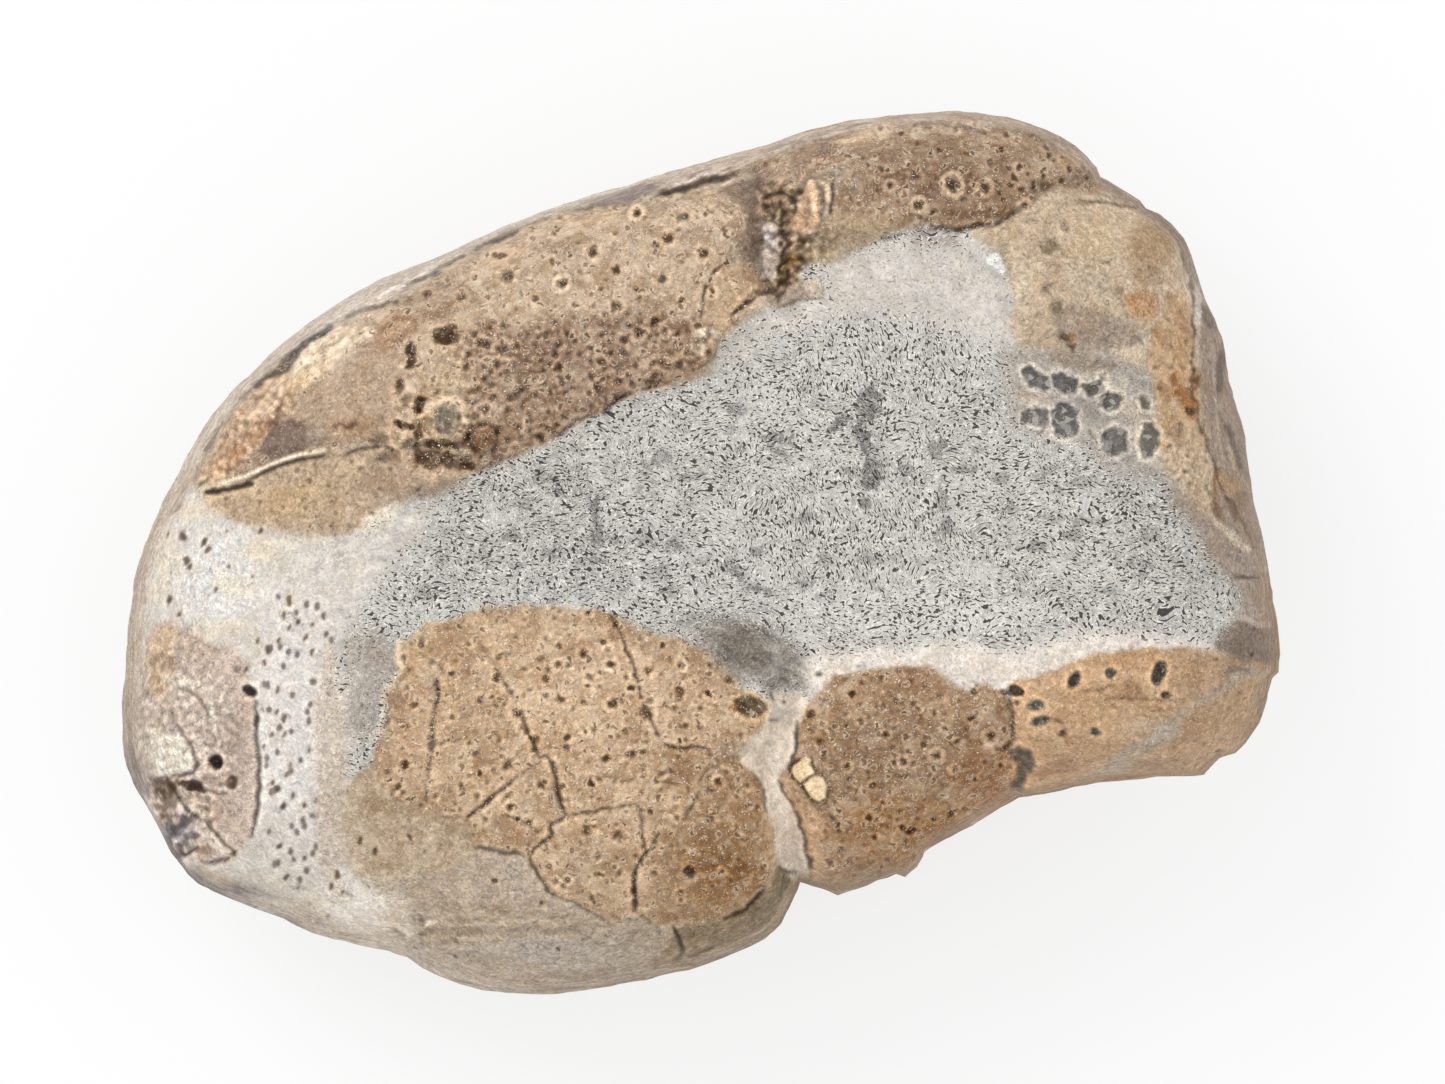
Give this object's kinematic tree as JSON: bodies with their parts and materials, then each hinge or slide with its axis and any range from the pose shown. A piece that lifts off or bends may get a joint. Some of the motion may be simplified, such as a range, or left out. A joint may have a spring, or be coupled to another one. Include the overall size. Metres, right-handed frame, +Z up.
{
  "type": "fossil lobster",
  "caption": "Stone nodule broken open to show a fossil lobster: claw, limb segment and pitted shell plates in a grey worm-textured matrix. Rests on a flat spot on its underside.",
  "frame": {"origin": "on the resting plane, below the middle of the stone's bounding box", "axes": "+Z up, out of the fossil face; +X along the stone's length, from the pointed claw-tip end to the square broken end; +Y towards the claw"},
  "size_m": [0.1046, 0.0797, 0.0432],
  "materials": {
    "fossil_stone": "worn, semi-matt, with a slight polish on the shell plates"
  },
  "bodies": {
    "root": {"fossil_nodule": "fossil_stone"}
  },
  "joints": []
}
